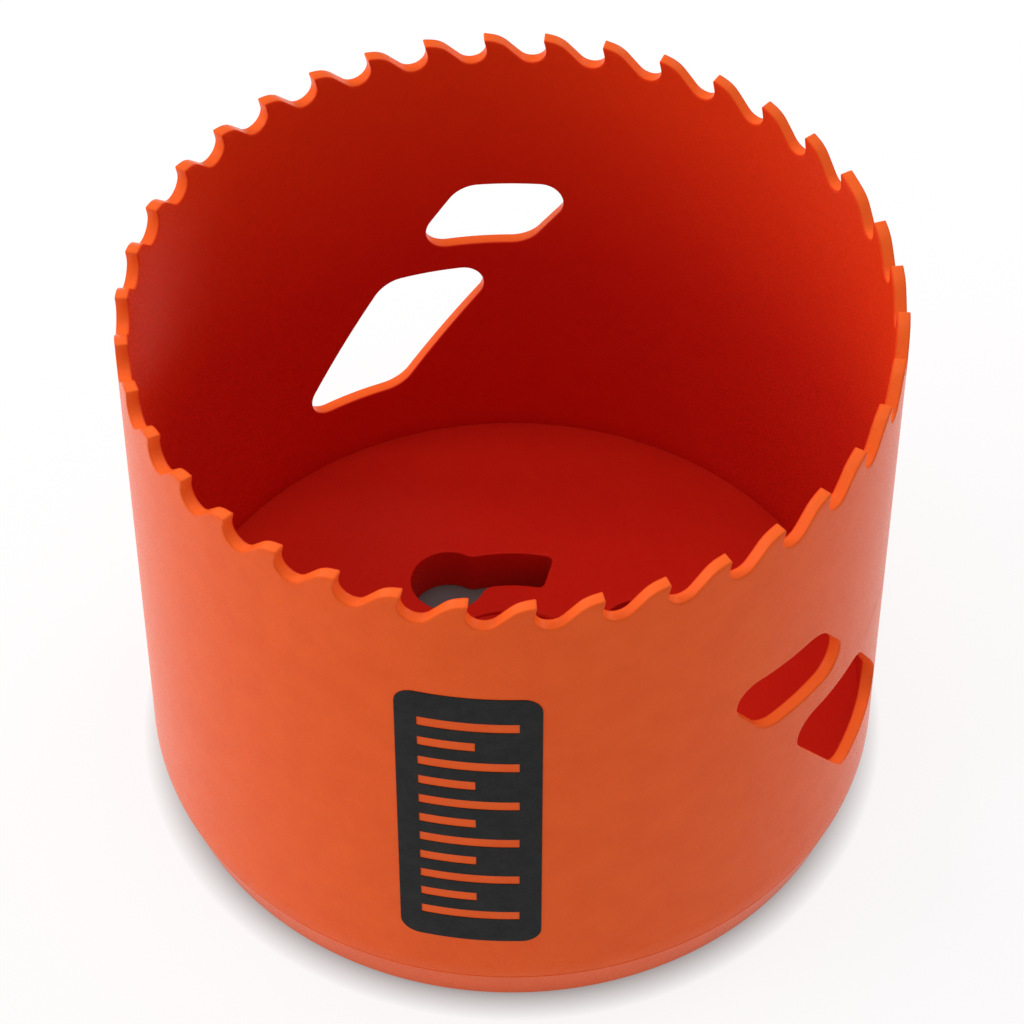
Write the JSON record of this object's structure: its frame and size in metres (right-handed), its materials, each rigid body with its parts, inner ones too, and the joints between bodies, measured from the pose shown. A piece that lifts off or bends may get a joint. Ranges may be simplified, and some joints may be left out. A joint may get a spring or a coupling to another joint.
{
  "type": "hole saw",
  "caption": "Cup-shaped hole saw: a toothed steel band with slanted plug slots, welded on a round end cap with a threaded bore and keyholes for drive pins.",
  "frame": {"origin": "centre of the end cap's underside", "axes": "+Z along the axis of rotation, from the cap towards the teeth; the printed panel faces about -Y"},
  "size_m": [0.0636, 0.0636, 0.0532],
  "materials": {
    "band": "satin orange powder coat",
    "cap": "satin orange powder coat",
    "print": "matt black print"
  },
  "bodies": {
    "root": {"saw_band": "band", "end_cap": "cap", "print_panel": "print"}
  },
  "joints": []
}
